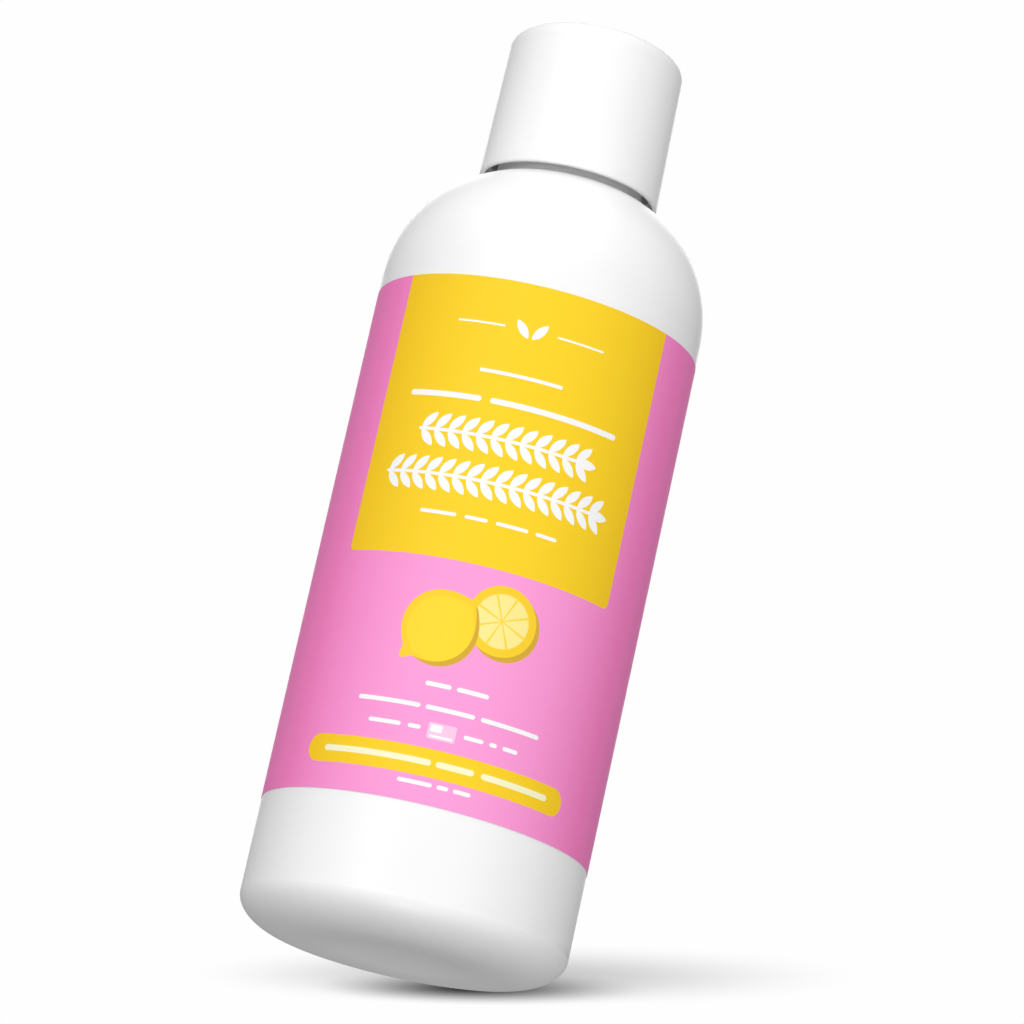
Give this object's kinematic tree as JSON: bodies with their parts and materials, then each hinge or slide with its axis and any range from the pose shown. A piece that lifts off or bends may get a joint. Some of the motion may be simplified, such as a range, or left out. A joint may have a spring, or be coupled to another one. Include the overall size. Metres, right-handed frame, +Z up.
{
  "type": "personal care gel bottle with disc-top closure",
  "caption": "Round white plastic gel bottle with a domed shoulder, a wrap label and a tall smooth screw-on closure whose round top tips to open.",
  "frame": {"origin": "centre of the flat ring the bottle stands on, at the bottom of the bounding box", "axes": "+Z up along the bottle's axis, towards the closure; the front of the label faces -Y and +X is to its right"},
  "size_m": [0.055, 0.055, 0.1606],
  "materials": {
    "white_bottle": "white blow-moulded plastic, soft satin gloss",
    "printed_film": "smooth printed film, pink with a yellow panel, low gloss",
    "gel": "clear thick gel, hidden inside the bottle",
    "liner_foam": "white foamed liner",
    "white_closure": "smooth white moulded plastic, satin gloss"
  },
  "bodies": {
    "bottle_body": {"bottle": "white_bottle", "wrap_label": "printed_film", "gel_fill": "gel"},
    "liner_body": {"closure_liner": "liner_foam"},
    "closure_body": {"closure_shell": "white_closure"},
    "disc_body": {"tipping_disc": "white_closure"}
  },
  "joints": [
    {"name": "closure_lift", "type": "slide", "parent": "bottle_body", "child": "liner_body", "axis": [0, 0, 1], "range_m": [0, 0.00635]},
    {"name": "closure_turn", "type": "hinge", "parent": "liner_body", "child": "closure_body", "pos_m": [0, 0, 0.1513], "axis": [0, 0, 1], "range_deg": [0, 540]},
    {"name": "disc_tilt", "type": "hinge", "parent": "closure_body", "child": "disc_body", "pos_m": [0, 0.003, 0.1568], "axis": [-1, 0, 0], "range_deg": [0, 20]}
  ],
  "couplings": [
    {"joint": "closure_lift", "follows": "closure_turn", "m_per_rad": 0.00067376}
  ]
}
